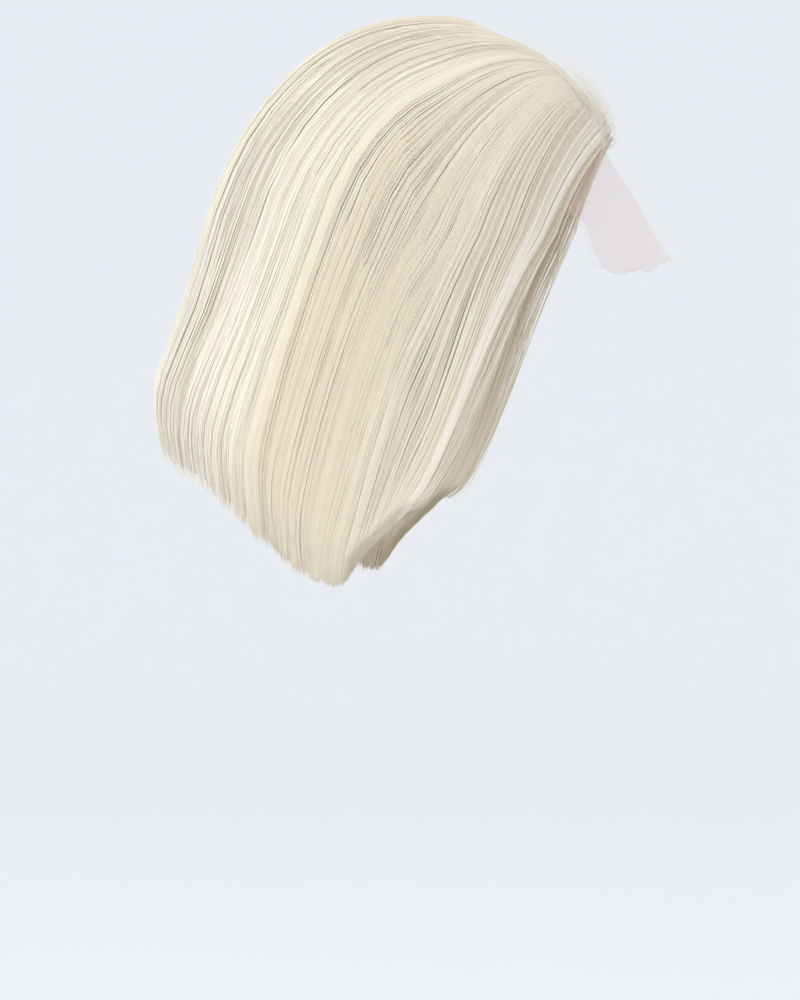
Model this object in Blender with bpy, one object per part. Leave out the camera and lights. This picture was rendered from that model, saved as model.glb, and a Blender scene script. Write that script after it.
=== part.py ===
"""A straight blonde bob wig, swept back from a short parting, on a cap with a sheer lace front."""

# The wig keeps the form that it has when it is worn.
# +Z is up, the face opening looks along -Y and the wearer's right side is at -X.
# The origin is the highest point inside the cap, where the crown of a head sits.

import math

import bmesh
import bpy
import numpy as np

# Head that the cap fits, in metres
HEAD_LENGTH = 0.190
HEAD_WIDTH = 0.150
CROWN_HEIGHT = 0.105
HEAD_SQUARENESS = 2.3

# Cap
CAP_WALL = 0.0012
CAP_DEPTH = 0.140
CAP_COLUMNS = 28
CAP_ROWS = 6

# Lace flap, left untrimmed at the forehead
LACE_LENGTH = 0.072
LACE_THICKNESS = 0.001
LACE_HALF_SPREAD = 62.0
LACE_RUFFLE = 0.0012
LACE_RUFFLES = 5
LACE_GAP = 0.0004
LACE_COLUMNS = 28
LACE_ROWS = 7

# Hair, as lifts of its outer face off the head
HAIR_DROP = 0.297
BACK_LIFT = 0.066
SIDE_LIFT = 0.030
FRONT_LIFT = 0.010
CROWN_LIFT = 0.012
HAIR_WALL = 0.009
TIP_WALL = 0.0022
ROOT_LIFT = 0.0052
HAIR_CLEARANCE = 0.0012
LACE_STAND_OFF = 0.0032
SEAM_GAP = 0.0006
TIP_CURL = 0.012
LOCK_RIDGE = 0.0026
LOCK_NOTCH = 0.012
LOCK_UNEVENNESS = 0.007
PARTING_WIDTH = 0.0026
PARTING_OFFSET = 0.014

# Locks, with the columns of faces across each one and the rows along it
SIDE_LOCKS = 7
BACK_LOCKS = 8
LOCK_COLUMNS = 4
HAIR_ROWS = 18

# Level of the head's widest ring, where the crown is level 0 and the lowest tips are level 1
WIDEST_LEVEL = 0.45

# Lift of the outer face: level, then shares of the lifts at the back, side and front
LIFT_COLUMNS = ("level", "back", "side", "front")
LIFT_TABLE = (
    (0.00, 0.18, 0.40, 1.20),
    (0.05, 0.18, 0.38, 0.75),
    (0.10, 0.18, 0.37, 0.55),
    (0.15, 0.18, 0.37, 0.55),
    (0.20, 0.185, 0.38, 0.60),
    (0.25, 0.20, 0.42, 0.70),
    (0.30, 0.24, 0.47, 0.90),
    (0.35, 0.30, 0.53, 0.95),
    (0.40, 0.38, 0.58, 0.90),
    (0.45, 0.485, 0.65, 0.85),
    (0.56, 0.65, 0.73, 0.80),
    (0.69, 0.90, 0.90, 0.80),
    (0.80, 1.00, 0.98, 0.80),
    (0.90, 1.00, 0.96, 0.80),
    (1.00, 0.92, 0.86, 0.80),
)

# Flow of the hair from the front edge (0) to the middle of the back (1), on a flat disk
# whose centre is the crown: how far forward its root is on the parting, then bend and tip
FLOW_COLUMNS = ("across", "root_ahead", "bend_angle", "bend_level", "tip_angle", "tip_level")
FLOW_TABLE = (
    (0.00, 0.335, 76.0, 0.83, 92.5, 0.87),
    (0.08, 0.285, 77.0, 0.78, 95.5, 0.89),
    (0.14, 0.262, 85.0, 0.83, 102.5, 0.93),
    (0.22, 0.250, 91.0, 0.79, 110.5, 0.985),
    (0.40, 0.235, 92.0, 0.56, 120.0, 0.97),
    (0.60, 0.200, 93.0, 0.37, 133.5, 0.91),
    (0.80, 0.160, 108.0, 0.33, 150.5, 0.84),
    (1.00, 0.120, 180.0, 0.20, 180.0, 0.78),
)
FRONT_LOCK_ACROSS = 0.08
SIDE_ACROSS = 0.60

# Cap rim and lace: angle from the front, depth of the rim as a share of the cap's depth,
# length of the lace as a share of its longest, and the lace's slope below level in degrees
RIM_COLUMNS = ("angle", "rim_depth", "lace_length", "lace_slope")
RIM_TABLE = (
    (0.0, 0.41, 1.00, 60.0),
    (20.0, 0.42, 0.98, 69.0),
    (35.0, 0.44, 0.90, 78.0),
    (43.0, 0.48, 0.42, 80.0),
    (62.0, 0.58, 0.17, 82.0),
    (78.0, 0.80, 0.15, 84.0),
    (95.0, 0.66, 0.15, 84.0),
    (120.0, 0.86, 0.15, 84.0),
    (150.0, 0.98, 0.15, 84.0),
    (180.0, 1.00, 0.15, 84.0),
)

# Colour, roughness and metallic value of each material
MATERIALS = {
    "hair": ((0.76, 0.71, 0.58, 1.0), 0.42, 0.0),
    "front_lock": ((0.86, 0.83, 0.74, 1.0), 0.40, 0.0),
    "cap_mesh": ((0.62, 0.50, 0.40, 1.0), 0.85, 0.0),
    "lace": ((0.86, 0.73, 0.70, 1.0), 0.80, 0.0),
}


def clear_scene():
    """Remove the objects that are in the scene."""
    for thing in list(bpy.data.objects):
        bpy.data.objects.remove(thing, do_unlink=True)


def make_material(name):
    """Make a Principled material from the table of colours."""
    colour, roughness, metallic = MATERIALS[name]
    material = bpy.data.materials.new(name)
    material.use_nodes = True
    shader = material.node_tree.nodes["Principled BSDF"]
    shader.inputs["Base Color"].default_value = colour
    shader.inputs["Roughness"].default_value = roughness
    shader.inputs["Metallic"].default_value = metallic
    material.diffuse_color = colour
    return material


class SmoothColumn:
    """One column of a table as a smooth curve that never overshoots its rows."""

    def __init__(self, table, columns, name):
        self.x = np.array([row[0] for row in table], dtype=float)
        self.y = np.array([row[columns.index(name)] for row in table], dtype=float)
        step = np.diff(self.y) / np.diff(self.x)
        self.slope = np.zeros(len(self.x))
        self.slope[0] = step[0]
        self.slope[-1] = step[-1]
        for i in range(1, len(self.x) - 1):
            before, after = step[i - 1], step[i]
            if before * after > 0:
                self.slope[i] = 2 * before * after / (before + after)

    def __call__(self, at):
        at = min(max(at, self.x[0]), self.x[-1])
        i = min(max(int(np.searchsorted(self.x, at)) - 1, 0), len(self.x) - 2)
        width = self.x[i + 1] - self.x[i]
        t = (at - self.x[i]) / width
        start = self.y[i] * (1 + 2 * t) * (1 - t) ** 2 + width * self.slope[i] * t * (1 - t) ** 2
        end = self.y[i + 1] * t * t * (3 - 2 * t) + width * self.slope[i + 1] * t * t * (t - 1)
        return start + end


def read_table(table, columns):
    """Give each column after the first as a smooth curve over the first."""
    return {name: SmoothColumn(table, columns, name) for name in columns[1:]}


LIFT = read_table(LIFT_TABLE, LIFT_COLUMNS)
FLOW = read_table(FLOW_TABLE, FLOW_COLUMNS)
RIM = read_table(RIM_TABLE, RIM_COLUMNS)


def ramp(value, low, high):
    """Smooth step from 0 at low to 1 at high."""
    t = min(max((value - low) / (high - low), 0.0), 1.0)
    return t * t * (3 - 2 * t)


def signed_power(value, power):
    """Power of the size of a value, with the value's sign."""
    return math.copysign(abs(value) ** power, value)


def level_at_depth(depth):
    """Level of a point on the head at a depth below the crown."""
    if depth < CROWN_HEIGHT:
        share = (1 - depth / CROWN_HEIGHT) ** (HEAD_SQUARENESS / 2)
        return WIDEST_LEVEL * math.acos(share) / (math.pi / 2)
    skirt = HAIR_DROP - CROWN_HEIGHT
    return WIDEST_LEVEL + (1 - WIDEST_LEVEL) * (depth - CROWN_HEIGHT) / skirt


def head_point(angle, level, lift):
    """Point lifted off the head. The angle turns from the front to the wearer's right."""
    power = 2 / HEAD_SQUARENESS
    turn = min(level / WIDEST_LEVEL, 1.0) * math.pi / 2
    ring = max(math.sin(turn), 0.0) ** power
    height = max(math.cos(turn), 0.0) ** power
    aside = -signed_power(math.sin(math.radians(angle)), power) * ring
    ahead = -signed_power(math.cos(math.radians(angle)), power) * ring
    sizes = np.array((HEAD_WIDTH / 2, HEAD_LENGTH / 2, CROWN_HEIGHT))
    shares = np.array((aside, ahead, height))
    normal = np.sign(shares) * np.abs(shares) ** (HEAD_SQUARENESS - 1) / sizes
    point = shares * sizes + normal / np.linalg.norm(normal) * lift
    below = max(level - WIDEST_LEVEL, 0.0) / (1 - WIDEST_LEVEL) * (HAIR_DROP - CROWN_HEIGHT)
    point[2] -= CROWN_HEIGHT + below
    return point


def full_lift(angle, level):
    """Lift of the hair's outer face off the head."""
    side_share = math.sin(math.radians(angle)) ** 2
    if math.cos(math.radians(angle)) > 0:
        end = LIFT["front"](level) * FRONT_LIFT
    else:
        end = LIFT["back"](level) * BACK_LIFT
    around = side_share * LIFT["side"](level) * SIDE_LIFT + (1 - side_share) * end
    crown = 1 - ramp(level, 0.0, 0.08)
    return crown * CROWN_LIFT + (1 - crown) * around


def inner_lift(outer, across, level, wall):
    """Lift of the hair's inner face: close to the cap at the crown, then a wall's thickness in."""
    over_lace = ramp(level, 0.31, 0.36) * (1 - ramp(across, FRONT_LOCK_ACROSS, 0.25))
    at_cap = CAP_WALL + HAIR_CLEARANCE + over_lace * LACE_STAND_OFF
    hanging = ramp(level, 0.25, 0.50)
    return max((1 - hanging) * at_cap + hanging * (outer - wall), at_cap)


def disk_point(angle, level):
    """Place on the flat disk: forward, then to the side."""
    return np.array((math.cos(math.radians(angle)), math.sin(math.radians(angle)))) * level


def strand_place(across, along, side):
    """Angle and level of a place on a strand, which bends once between its root and its tip."""
    bend = disk_point(FLOW["bend_angle"](across), FLOW["bend_level"](across))
    tip = disk_point(FLOW["tip_angle"](across), FLOW["tip_level"](across))
    disk_size = WIDEST_LEVEL / (CROWN_HEIGHT * math.pi / 2)
    beside_parting = side * (1 - across) * PARTING_WIDTH / 2
    root = np.array((FLOW["root_ahead"](across), (PARTING_OFFSET + beside_parting) * disk_size))
    turned = np.array((1, side))
    place = (1 - along) ** 2 * root + turned * (2 * along * (1 - along) * bend + along ** 2 * tip)
    return math.degrees(math.atan2(place[1], place[0])), float(np.hypot(*place))


def strand_point(across, along, side, ridge, inner):
    """Point on the outer or the inner face of the hair."""
    angle, level = strand_place(across, along, side)
    lift = full_lift(angle, level)
    lift -= TIP_CURL * ramp(along, 0.88, 1.04)
    wall = TIP_WALL + (HAIR_WALL - TIP_WALL) * (1 - ramp(along, 0.70, 1.0))
    outer = lift + ridge * LOCK_RIDGE * ramp(along, 0.03, 0.35)
    root = 1 - ramp(along, 0.0, 0.07)
    outer = root * min(ROOT_LIFT, outer) + (1 - root) * outer
    under = inner_lift(lift, across, level, wall)
    if inner:
        return head_point(angle, level, under)
    return head_point(angle, level, max(outer, under + TIP_WALL))


def lock_ridge(column):
    """Height of the outer face across a lock: 0 in the valleys beside it, 1 on its crest."""
    return math.sin(math.pi * (column % LOCK_COLUMNS) / LOCK_COLUMNS)


def lock_end(column, lock_count):
    """How far along its strands a column of the hair ends, with notches between the locks."""
    lock = column // LOCK_COLUMNS
    within = column % LOCK_COLUMNS
    long_strand = HEAD_LENGTH + HAIR_DROP
    notch = LOCK_NOTCH * (1 - math.sin(math.pi * within / LOCK_COLUMNS))
    uneven = LOCK_UNEVENNESS * math.sin(2.4 * lock + 0.9) ** 2
    if within == 0 or lock >= lock_count:
        uneven = 0.0
    return 1 - (notch + uneven) / long_strand


def closed_shell(outer, inner):
    """Points and faces of a closed wall between two grids of points of the same size."""
    rows, columns = outer.shape[:2]
    points = np.concatenate((outer.reshape(-1, 3), inner.reshape(-1, 3)))
    back = rows * columns
    faces = []
    for i in range(rows - 1):
        for j in range(columns - 1):
            a = i * columns + j
            b, c, d = a + 1, a + columns + 1, a + columns
            faces.append((a, b, c, d))
            faces.append((back + d, back + c, back + b, back + a))
    rim = [j for j in range(columns)]
    rim += [i * columns + columns - 1 for i in range(1, rows)]
    rim += [(rows - 1) * columns + j for j in range(columns - 2, -1, -1)]
    rim += [i * columns for i in range(rows - 2, 0, -1)]
    for a, b in zip(rim, rim[1:] + rim[:1]):
        faces.append((b, a, back + a, back + b))
    return points, faces


def add_body(name, points, faces, material):
    """Add one closed body with its faces pointing out."""
    mesh = bpy.data.meshes.new(name)
    mesh.from_pydata([tuple(point) for point in points], [], faces)
    body = bmesh.new()
    body.from_mesh(mesh)
    bmesh.ops.recalc_face_normals(body, faces=body.faces)
    bmesh.ops.triangulate(body, faces=body.faces)
    body.to_mesh(mesh)
    body.free()
    mesh.materials.append(material)
    mesh.shade_smooth()
    mesh.set_sharp_from_angle(angle=math.radians(50))
    thing = bpy.data.objects.new(name, mesh)
    bpy.context.scene.collection.objects.link(thing)
    return thing


def part_edges(grid, gap):
    """Draw the first and last columns of a grid in, to leave half a seam's gap at each."""
    for edge, neighbour in ((0, 1), (-1, -2)):
        inward = grid[:, neighbour] - grid[:, edge]
        length = np.linalg.norm(inward, axis=1, keepdims=True)
        grid[:, edge] += inward / np.maximum(length, 1e-9) * np.minimum(gap / 2, length / 2)
    return grid


def hair_grids(strands):
    """Outer and inner grids for a list of strands: across, side, ridge and end of each."""
    outer = np.zeros((HAIR_ROWS + 1, len(strands), 3))
    inner = np.zeros_like(outer)
    for j, (across, side, ridge, end) in enumerate(strands):
        for i in range(HAIR_ROWS + 1):
            along = end * (i / HAIR_ROWS) ** 1.1
            outer[i, j] = strand_point(across, along, side, ridge, False)
            inner[i, j] = strand_point(across, along, side, ridge, True)
    return part_edges(outer, SEAM_GAP), part_edges(inner, SEAM_GAP)


def add_hair(name, strands, material):
    """Add a wall of hair in locks."""
    outer, inner = hair_grids(strands)
    points, faces = closed_shell(outer, inner)
    return add_body(name, points, faces, material)


def side_strands(side):
    """Strands of the hair on one side, from the front lock to the hair of the back."""
    count = SIDE_LOCKS * LOCK_COLUMNS
    span = SIDE_ACROSS - FRONT_LOCK_ACROSS
    return [
        (FRONT_LOCK_ACROSS + span * j / count, side, lock_ridge(j), lock_end(j, SIDE_LOCKS))
        for j in range(count + 1)
    ]


def front_strands(side):
    """Strands of the one lock that frames the face."""
    return [
        (FRONT_LOCK_ACROSS * j / LOCK_COLUMNS, side, lock_ridge(j), lock_end(j, 1))
        for j in range(LOCK_COLUMNS + 1)
    ]


def back_strands():
    """Strands of the hair of the back, from its right edge round to its left edge."""
    count = BACK_LOCKS * LOCK_COLUMNS
    strands = []
    for j in range(count + 1):
        turn = 1 - 2 * j / count
        across = 1 - (1 - SIDE_ACROSS) * abs(turn)
        side = 1 if turn >= 0 else -1
        strands.append((across, side, lock_ridge(j), lock_end(j, BACK_LOCKS)))
    return strands


def add_cap(material):
    """Add the thin cap that the hair is tied to."""
    rings = []
    for lift in (CAP_WALL, 0.0):
        for i in range(1, CAP_ROWS + 1):
            for j in range(CAP_COLUMNS):
                angle = 360 * j / CAP_COLUMNS
                depth = RIM["rim_depth"](min(angle, 360 - angle)) * CAP_DEPTH
                level = level_at_depth(depth) * i / CAP_ROWS
                rings.append(head_point(angle, level, lift))
    points = rings + [np.array((0, 0, CAP_WALL)), np.zeros(3)]
    inside = CAP_ROWS * CAP_COLUMNS
    top, under = 2 * inside, 2 * inside + 1
    faces = []
    for j in range(CAP_COLUMNS):
        k = (j + 1) % CAP_COLUMNS
        faces.append((top, j, k))
        faces.append((under, inside + k, inside + j))
        for i in range(CAP_ROWS - 1):
            a, b = i * CAP_COLUMNS + j, i * CAP_COLUMNS + k
            c, d = b + CAP_COLUMNS, a + CAP_COLUMNS
            faces.append((a, d, c, b))
            faces.append((inside + b, inside + c, inside + d, inside + a))
        last = (CAP_ROWS - 1) * CAP_COLUMNS
        faces.append((last + j, inside + last + j, inside + last + k, last + k))
    return add_body("cap", points, faces, material)


def cap_rim(column):
    """Point on the inner edge of the cap's rim, at one of its columns."""
    angle = 360 * column / CAP_COLUMNS
    return head_point(angle, level_at_depth(RIM["rim_depth"](abs(angle)) * CAP_DEPTH), 0.0)


def rim_point(angle):
    """Point on the straight stretch of rim between the two columns beside an angle."""
    place = angle * CAP_COLUMNS / 360
    before = math.floor(place)
    share = place - before
    return (1 - share) * cap_rim(before) + share * cap_rim(before + 1)


def lace_point(angle, share, lift):
    """Point on the lace flap, from the hairline (0) to its free edge (1)."""
    turn = abs(angle)
    root = rim_point(angle) - np.array((0, 0, LACE_GAP))
    out = root * (1, 1, 0)
    out /= np.linalg.norm(out)
    slope = math.radians(RIM["lace_slope"](turn))
    along = out * math.cos(slope) + np.array((0, 0, -math.sin(slope)))
    face = out * math.sin(slope) + np.array((0, 0, math.cos(slope) * ramp(share, 0.0, 0.3)))
    length = RIM["lace_length"](turn) * LACE_LENGTH
    waves = math.sin(math.radians(angle) * LACE_RUFFLES * 2 + 0.6)
    ruffle = LACE_RUFFLE * share ** 2 * (1 + waves)
    return root + along * length * share + face * (lift + ruffle)


def add_lace(material):
    """Add the sheer flap along the hairline."""
    grids = np.zeros((2, LACE_ROWS + 1, LACE_COLUMNS + 1, 3))
    for k, lift in enumerate((LACE_THICKNESS, 0.0)):
        for i in range(LACE_ROWS + 1):
            for j in range(LACE_COLUMNS + 1):
                angle = LACE_HALF_SPREAD * (2 * j / LACE_COLUMNS - 1)
                grids[k, i, j] = lace_point(angle, i / LACE_ROWS, lift)
    points, faces = closed_shell(grids[0], grids[1])
    return add_body("lace_front", points, faces, material)


def build():
    """Build the wig."""
    clear_scene()
    hair = make_material("hair")
    bright_hair = make_material("front_lock")
    add_cap(make_material("cap_mesh"))
    add_lace(make_material("lace"))
    for side, name in ((1, "right"), (-1, "left")):
        add_hair("hair_" + name, side_strands(side), hair)
        add_hair("front_lock_" + name, front_strands(side), bright_hair)
    add_hair("hair_back", back_strands(), hair)


build()
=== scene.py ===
"""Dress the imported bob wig: its masses of hair, strands, lace front, cap and stage."""

import math

import bpy
import numpy as np
from bpy.props import FloatProperty, FloatVectorProperty, IntProperty, PointerProperty
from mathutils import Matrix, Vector


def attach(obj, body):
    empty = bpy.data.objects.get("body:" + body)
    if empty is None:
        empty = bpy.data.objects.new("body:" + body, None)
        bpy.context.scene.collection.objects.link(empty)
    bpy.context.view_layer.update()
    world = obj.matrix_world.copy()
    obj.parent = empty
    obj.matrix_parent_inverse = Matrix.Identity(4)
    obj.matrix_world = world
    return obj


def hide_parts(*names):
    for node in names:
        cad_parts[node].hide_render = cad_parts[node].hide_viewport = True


bl_info = {
    "name": "Blonde Bob Wig",
    "version": (1, 0, 0),
    "blender": (4, 5, 0),
    "location": "3D View > Sidebar > Wig",
    "description": "Builds the hair, lace front, cap and stage of a swept-back blonde bob wig",
    "category": "Add Mesh",
}

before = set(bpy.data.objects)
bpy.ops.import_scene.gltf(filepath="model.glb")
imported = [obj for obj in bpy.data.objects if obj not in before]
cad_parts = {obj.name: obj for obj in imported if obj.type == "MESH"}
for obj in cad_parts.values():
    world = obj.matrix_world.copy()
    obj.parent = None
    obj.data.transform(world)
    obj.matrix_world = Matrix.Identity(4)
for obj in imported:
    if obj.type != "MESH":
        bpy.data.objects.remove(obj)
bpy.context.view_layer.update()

# Head and hair, as the solids have them, in metres
HEAD_LENGTH = 0.190
HEAD_WIDTH = 0.150
CROWN_HEIGHT = 0.105
HEAD_SQUARENESS = 2.3
CAP_WALL = 0.0012
CAP_DEPTH = 0.140
HAIR_DROP = 0.297
BACK_LIFT = 0.066
SIDE_LIFT = 0.030
FRONT_LIFT = 0.010
CROWN_LIFT = 0.012
HAIR_WALL = 0.009
TIP_WALL = 0.0022
ROOT_LIFT = 0.0052
HAIR_CLEARANCE = 0.0012
LACE_STAND_OFF = 0.0032
TIP_CURL = 0.015
PARTING_WIDTH = 0.0012
PARTING_OFFSET = 0.014
WIDEST_LEVEL = 0.45
FRONT_LOCK_ACROSS = 0.08
SIDE_ACROSS = 0.60

# Lift of the hair's outer face: level, then shares of the lifts at the back, side and front
LIFT_TABLE = (
    (0.00, 0.18, 0.40, 1.20),
    (0.05, 0.18, 0.38, 0.75),
    (0.10, 0.18, 0.37, 0.55),
    (0.15, 0.18, 0.37, 0.55),
    (0.20, 0.185, 0.38, 0.60),
    (0.25, 0.20, 0.42, 0.70),
    (0.30, 0.24, 0.47, 0.90),
    (0.35, 0.30, 0.53, 0.95),
    (0.40, 0.38, 0.58, 0.90),
    (0.45, 0.485, 0.65, 0.85),
    (0.56, 0.65, 0.73, 0.80),
    (0.69, 0.90, 0.90, 0.80),
    (0.80, 1.00, 0.98, 0.80),
    (0.90, 1.00, 0.96, 0.80),
    (1.00, 0.92, 0.86, 0.80),
)

# Flow of the hair: across, root ahead on the parting, bend angle and level, tip angle and level
FLOW_TABLE = (
    (0.00, 0.335, 76.0, 0.83, 92.5, 0.87),
    (0.08, 0.285, 77.0, 0.78, 95.5, 0.89),
    (0.14, 0.262, 85.0, 0.83, 102.5, 0.93),
    (0.22, 0.250, 91.0, 0.79, 110.5, 0.985),
    (0.40, 0.235, 92.0, 0.56, 120.0, 0.97),
    (0.60, 0.200, 93.0, 0.37, 133.5, 0.91),
    (0.80, 0.160, 108.0, 0.33, 150.5, 0.84),
    (1.00, 0.120, 180.0, 0.20, 180.0, 0.78),
)

# Cap rim and lace: angle, rim depth share, lace length share, lace slope below level in degrees
RIM_TABLE = (
    (0.0, 0.41, 1.00, 60.0),
    (20.0, 0.42, 0.98, 69.0),
    (35.0, 0.44, 0.90, 78.0),
    (43.0, 0.48, 0.42, 80.0),
    (62.0, 0.58, 0.17, 82.0),
    (78.0, 0.80, 0.15, 84.0),
    (95.0, 0.66, 0.15, 84.0),
    (120.0, 0.86, 0.15, 84.0),
    (150.0, 0.98, 0.15, 84.0),
    (180.0, 1.00, 0.15, 84.0),
)
LACE_LENGTH = 0.072
LACE_HALF_SPREAD = 62.0
LACE_GAP = 0.0004
LACE_THICKNESS = 0.0002

# First row of the cap's net as a share of the way from the crown to the rim
CAP_FIRST_ROW = 0.012

# Where the hair's outer face and wall change: levels, or shares of the way from root to tip
CROWN_LEVEL = 0.08
CURL_SPAN = (0.88, 1.04)
THINNING_SPAN = (0.70, 1.00)
ROOT_SPAN = (0.0, 0.07)
LACE_LEVELS = (0.31, 0.36)
HANGING_LEVELS = (0.25, 0.50)
OVER_LACE_ACROSS = 0.25

# Height of a mass's faces in the hair: at its edges, gain inside the edges, share of the relief
MASS_OUTER = (0.34, 0.48, 0.05)
MASS_INNER = (0.30, 0.24, 0.05)
MASS_END = 0.982

# Streaks drawn on the masses, each about ten hairs of 0.07 mm side by side
STREAK_PITCH = 0.0007

# Height of a strand's ridge, and lean of its outer normals, as shares of half its width
STRAND_FLATNESS = 0.4
STRAND_LEAN = 0.45

# Locks and tufts that strands gather into, for each whole side of hair
LOCKS_ACROSS = 46
TUFTS_ACROSS = 190

# End of a strand along the hair, the share of strands cut shorter, and by how much at most
STRAND_END = 0.992
SHORTER_SHARE = 0.20
SHORTER_BY = 0.035

# Places in the noise that keep the left side unlike the right, for forms and for tones
LEFT_SHIFT = 31.7
TONE_SHIFTS = {"right": 11.3, "left": 51.9}

# Empty margins of the maps
MAP_MARGIN = 0.01
TONE_MARGIN = 0.02

# Rows along the hair at which every strand bends, from root (0) to tip (1)
STRAND_ROWS = (
    0.018, 0.050, 0.084, 0.120, 0.156, 0.192, 0.230, 0.264, 0.298, 0.334, 0.370, 0.406,
    0.446, 0.492, 0.544, 0.592, 0.640, 0.698, 0.768, 0.834, 0.874, 0.904, 0.932, 0.962,
)


def linear(hex_colour):
    """Turn an sRGB hex colour to linear red, green and blue."""
    channels = [int(hex_colour[i:i + 2], 16) / 255 for i in (0, 2, 4)]
    return [c / 12.92 if c <= 0.04045 else ((c + 0.055) / 1.055) ** 2.4 for c in channels]


class HairSettings(bpy.types.PropertyGroup):
    """Sizes and colours of the hair."""

    strand_width: FloatProperty(
        name="Strand width",
        description="Width of a drawn strand, which stands for a few hairs side by side",
        default=0.00043,
        unit="LENGTH",
    )
    side_strands: IntProperty(
        name="Side strands",
        description="Strands on the wearer's right side between the front lock and the back",
        default=2050,
    )
    inner_strands: IntProperty(
        name="Inner strands",
        description="Strands on the inside of one side, which show through the face opening",
        default=240,
    )
    back_strands: IntProperty(
        name="Back strands",
        description="Strands on the right half of the back",
        default=1370,
    )
    lock_strands: IntProperty(
        name="Front lock strands",
        description="Strands in one face-framing lock",
        default=240,
    )
    hairline_hairs: IntProperty(
        name="Hairline hairs",
        description="Short soft hairs along the hairline",
        default=640,
    )
    shade: FloatVectorProperty(
        name="Shade",
        description="Colour deep between the locks",
        subtype="COLOR",
        default=linear("DED2BA"),
    )
    middle: FloatVectorProperty(
        name="Middle",
        description="Colour of most of the strands",
        subtype="COLOR",
        default=linear("ECE1C9"),
    )
    light: FloatVectorProperty(
        name="Light",
        description="Colour of the palest strands",
        subtype="COLOR",
        default=linear("FAF6EC"),
    )


class LaceSettings(bpy.types.PropertyGroup):
    """Sizes and colours of the lace front and the cap."""

    thread: FloatVectorProperty(
        name="Lace thread",
        description="Colour of the lace thread",
        subtype="COLOR",
        default=linear("FBE3DC"),
    )
    net_pitch: FloatProperty(
        name="Net pitch",
        description="Distance between the holes of the net, drawn coarser than the real 0.7 mm",
        default=0.0014,
        unit="LENGTH",
    )
    cap_colour: FloatVectorProperty(
        name="Cap",
        description="Colour of the stretch net of the cap",
        subtype="COLOR",
        default=linear("C9B08F"),
    )


class StageSettings(bpy.types.PropertyGroup):
    """Floor, lights and camera."""

    floor_colour: FloatVectorProperty(
        name="Floor",
        description="Colour of the floor and backdrop",
        subtype="COLOR",
        default=linear("EFF0F2"),
    )
    key_power: FloatProperty(
        name="Key light",
        description="Power of the large soft light above",
        default=8.0,
        unit="POWER",
    )
    rear_power: FloatProperty(
        name="Rear light",
        description="Power of the large soft light behind the wearer's right side",
        default=26.0,
        unit="POWER",
    )
    camera_distance: FloatProperty(
        name="Camera distance",
        description="Distance from the camera to the middle of the view",
        default=2.5,
        unit="LENGTH",
    )


def smooth_column(table, column, at):
    """One column of a table as a smooth curve over the first, which never overshoots its rows."""
    x = np.array([row[0] for row in table], dtype=float)
    y = np.array([row[column] for row in table], dtype=float)
    step = np.diff(y) / np.diff(x)
    before, after = step[:-1], step[1:]
    same_way = before * after > 0
    inner = np.where(same_way, 2 * before * after / np.where(same_way, before + after, 1.0), 0.0)
    slope = np.concatenate((step[:1], inner, step[-1:]))
    at = np.clip(at, x[0], x[-1])
    i = np.clip(np.searchsorted(x, at) - 1, 0, len(x) - 2)
    width = x[i + 1] - x[i]
    t = (at - x[i]) / width
    start = y[i] * (1 + 2 * t) * (1 - t) ** 2 + width * slope[i] * t * (1 - t) ** 2
    end = y[i + 1] * t * t * (3 - 2 * t) + width * slope[i + 1] * t * t * (t - 1)
    return start + end


def ramp(value, low, high):
    """Smooth step from 0 at low to 1 at high."""
    t = np.clip((value - low) / (high - low), 0.0, 1.0)
    return t * t * (3 - 2 * t)


def level_at_depth(depth):
    """Level of a point on the head at a depth below the crown."""
    share = np.clip(1 - depth / CROWN_HEIGHT, 0.0, 1.0) ** (HEAD_SQUARENESS / 2)
    above = WIDEST_LEVEL * np.arccos(share) / (math.pi / 2)
    below = (1 - WIDEST_LEVEL) * (depth - CROWN_HEIGHT) / (HAIR_DROP - CROWN_HEIGHT)
    return np.where(depth < CROWN_HEIGHT, above, WIDEST_LEVEL + below)


def head_points(angle, level, lift):
    """Points lifted off the head. The angle turns from the front to the wearer's right."""
    power = 2 / HEAD_SQUARENESS
    turn = np.minimum(level / WIDEST_LEVEL, 1.0) * math.pi / 2
    ring = np.clip(np.sin(turn), 0.0, 1.0) ** power
    height = np.clip(np.cos(turn), 0.0, 1.0) ** power
    sine, cosine = np.sin(np.radians(angle)), np.cos(np.radians(angle))
    aside = -np.sign(sine) * np.abs(sine) ** power * ring
    ahead = -np.sign(cosine) * np.abs(cosine) ** power * ring
    sizes = np.array((HEAD_WIDTH / 2, HEAD_LENGTH / 2, CROWN_HEIGHT))
    shares = np.stack(np.broadcast_arrays(aside, ahead, height), axis=-1)
    normal = np.sign(shares) * np.abs(shares) ** (HEAD_SQUARENESS - 1) / sizes
    normal /= np.linalg.norm(normal, axis=-1, keepdims=True)
    points = shares * sizes + normal * np.asarray(lift)[..., None]
    below = np.maximum(level - WIDEST_LEVEL, 0.0) / (1 - WIDEST_LEVEL)
    points[..., 2] -= CROWN_HEIGHT + below * (HAIR_DROP - CROWN_HEIGHT)
    return points


def full_lift(angle, level):
    """Lift of the hair's outer face off the head."""
    side_share = np.sin(np.radians(angle)) ** 2
    front = smooth_column(LIFT_TABLE, 3, level) * FRONT_LIFT
    back = smooth_column(LIFT_TABLE, 1, level) * BACK_LIFT
    end = np.where(np.cos(np.radians(angle)) > 0, front, back)
    around = side_share * smooth_column(LIFT_TABLE, 2, level) * SIDE_LIFT + (1 - side_share) * end
    crown = 1 - ramp(level, 0.0, CROWN_LEVEL)
    return crown * CROWN_LIFT + (1 - crown) * around


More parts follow.
